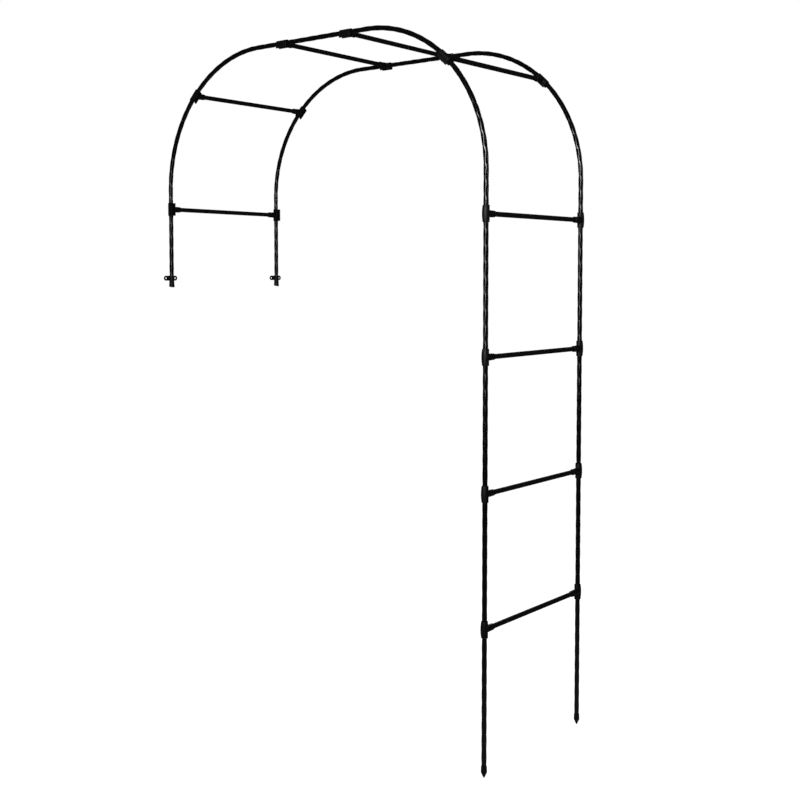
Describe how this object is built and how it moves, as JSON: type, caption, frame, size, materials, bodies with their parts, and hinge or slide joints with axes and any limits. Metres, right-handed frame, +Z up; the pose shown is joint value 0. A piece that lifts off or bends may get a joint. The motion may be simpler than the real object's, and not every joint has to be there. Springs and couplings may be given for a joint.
{
  "type": "wall-side trellis arch",
  "caption": "Garden trellis arch of black spiral tube hoops joined by rungs, with long spiked legs on one side and short wall-fixed legs on the other.",
  "frame": {"origin": "on the level of the spike tips, midway between the wall legs and the ground legs and midway between the two hoops", "axes": "+Z up, +X from the wall legs to the ground legs, +Y from the front hoop to the rear hoop"},
  "size_m": [1.4226, 0.6014, 2.2813],
  "materials": {
    "hoop_tube": "satin black powder coat on spiral-fluted steel tube",
    "rung_tube": "matt black powder coat on plain steel tube",
    "tee": "moulded black plastic, fine texture",
    "spike": "moulded black plastic, fine texture",
    "end_cap": "moulded black plastic",
    "wall_clip": "moulded black plastic"
  },
  "bodies": {
    "arch": {"front_lower_leg": "hoop_tube", "front_upper_leg": "hoop_tube", "front_ground_bow": "hoop_tube", "front_wall_bow": "hoop_tube", "rear_lower_leg": "hoop_tube", "rear_upper_leg": "hoop_tube", "rear_ground_bow": "hoop_tube", "rear_wall_bow": "hoop_tube", "rung_1": "rung_tube", "rung_2": "rung_tube", "rung_3": "rung_tube", "rung_4": "rung_tube", "rung_5": "rung_tube", "rung_6": "rung_tube", "rung_7": "rung_tube", "rung_8": "rung_tube", "rung_9": "rung_tube", "front_tee_1": "tee", "front_tee_2": "tee", "front_tee_3": "tee", "front_tee_4": "tee", "front_tee_5": "tee", "front_tee_6": "tee", "front_tee_7": "tee", "front_tee_8": "tee", "front_tee_9": "tee", "front_ground_spike": "spike", "front_end_cap": "end_cap", "rear_tee_1": "tee", "rear_tee_2": "tee", "rear_tee_3": "tee", "rear_tee_4": "tee", "rear_tee_5": "tee", "rear_tee_6": "tee", "rear_tee_7": "tee", "rear_tee_8": "tee", "rear_tee_9": "tee", "rear_ground_spike": "spike", "rear_end_cap": "end_cap"},
    "front_clip": {"front_wall_clip": "wall_clip"},
    "rear_clip": {"rear_wall_clip": "wall_clip"}
  },
  "joints": [
    {"name": "front_clip_slide", "type": "slide", "parent": "arch", "child": "front_clip", "axis": [0, 0, 1], "range_m": [0, 0.215]},
    {"name": "rear_clip_slide", "type": "slide", "parent": "arch", "child": "rear_clip", "axis": [0, 0, 1], "range_m": [0, 0.215]}
  ]
}
